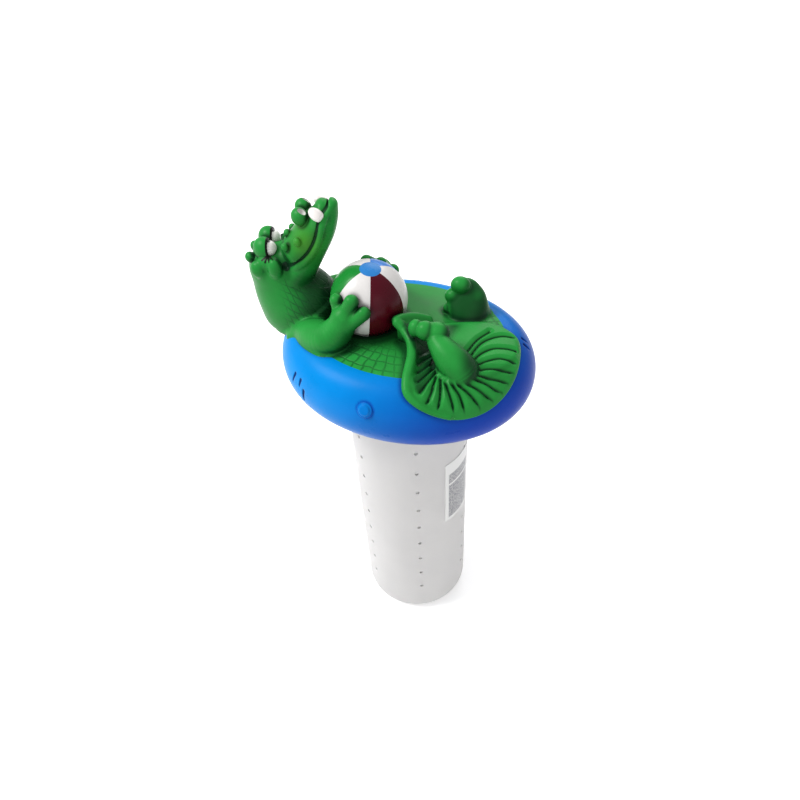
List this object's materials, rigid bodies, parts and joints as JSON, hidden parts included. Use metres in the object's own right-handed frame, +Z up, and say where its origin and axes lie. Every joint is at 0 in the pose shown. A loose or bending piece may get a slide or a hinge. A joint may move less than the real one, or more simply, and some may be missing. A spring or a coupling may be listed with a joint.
{
  "type": "floating chlorine dispenser",
  "caption": "Floating pool chlorine dispenser: an alligator lying in a swim ring with a beach ball, above a translucent tablet drum that unscrews and has a turning flow sleeve.",
  "frame": {"origin": "centre of the drum's underside, where it stands", "axes": "+Z up along the drum's axis, +X from the animal's head to its tail, -Y towards its right hand"},
  "size_m": [0.2043, 0.1452, 0.3752],
  "materials": {
    "milky_plastic": "translucent milky polyethylene, satin",
    "label_film": "blank white film with a grey block",
    "seal_rubber": "matt rubber",
    "socket_plastic": "satin moulded plastic",
    "ring_blue": "painted soft vinyl, satin gloss",
    "skin_green": "painted soft vinyl with airbrushed shading",
    "eye_white": "painted white with a black pupil",
    "tooth_white": "painted white",
    "ball_paint": "painted panels in white, red, green, blue and yellow"
  },
  "bodies": {
    "sleeve": {"flow_sleeve": "milky_plastic", "label": "label_film"},
    "drum": {"canister_cup": "milky_plastic"},
    "seal": {"gasket": "seal_rubber"},
    "float": {"threaded_socket": "socket_plastic", "ring_lower_shell": "ring_blue", "ring_upper_shell": "ring_blue", "vent_plug": "ring_blue", "torso_shell": "skin_green", "neck": "skin_green", "head_shell": "skin_green", "lower_jaw": "skin_green", "eye_right": "eye_white", "eye_left": "eye_white", "eyelid_right": "skin_green", "eyelid_left": "skin_green", "tooth_right": "tooth_white", "tooth_left": "tooth_white", "arm_right": "skin_green", "arm_left": "skin_green", "leg_right": "skin_green", "leg_left": "skin_green", "tail": "skin_green", "beach_ball": "ball_paint"}
  },
  "joints": [
    {"name": "flow_adjust", "type": "hinge", "parent": "sleeve", "child": "drum", "pos_m": [0, 0, 0.12], "axis": [0, 0, 1], "range_deg": [-30, 0]},
    {"name": "float_lift", "type": "slide", "parent": "drum", "child": "seal", "axis": [0, 0, 1], "range_m": [0, 0.0721]},
    {"name": "float_unscrew", "type": "hinge", "parent": "seal", "child": "float", "pos_m": [0, 0, 0.253], "axis": [0, 0, 1], "range_deg": [0, 1080]}
  ],
  "couplings": [
    {"joint": "float_lift", "follows": "float_unscrew", "m_per_rad": 0.0038197}
  ]
}
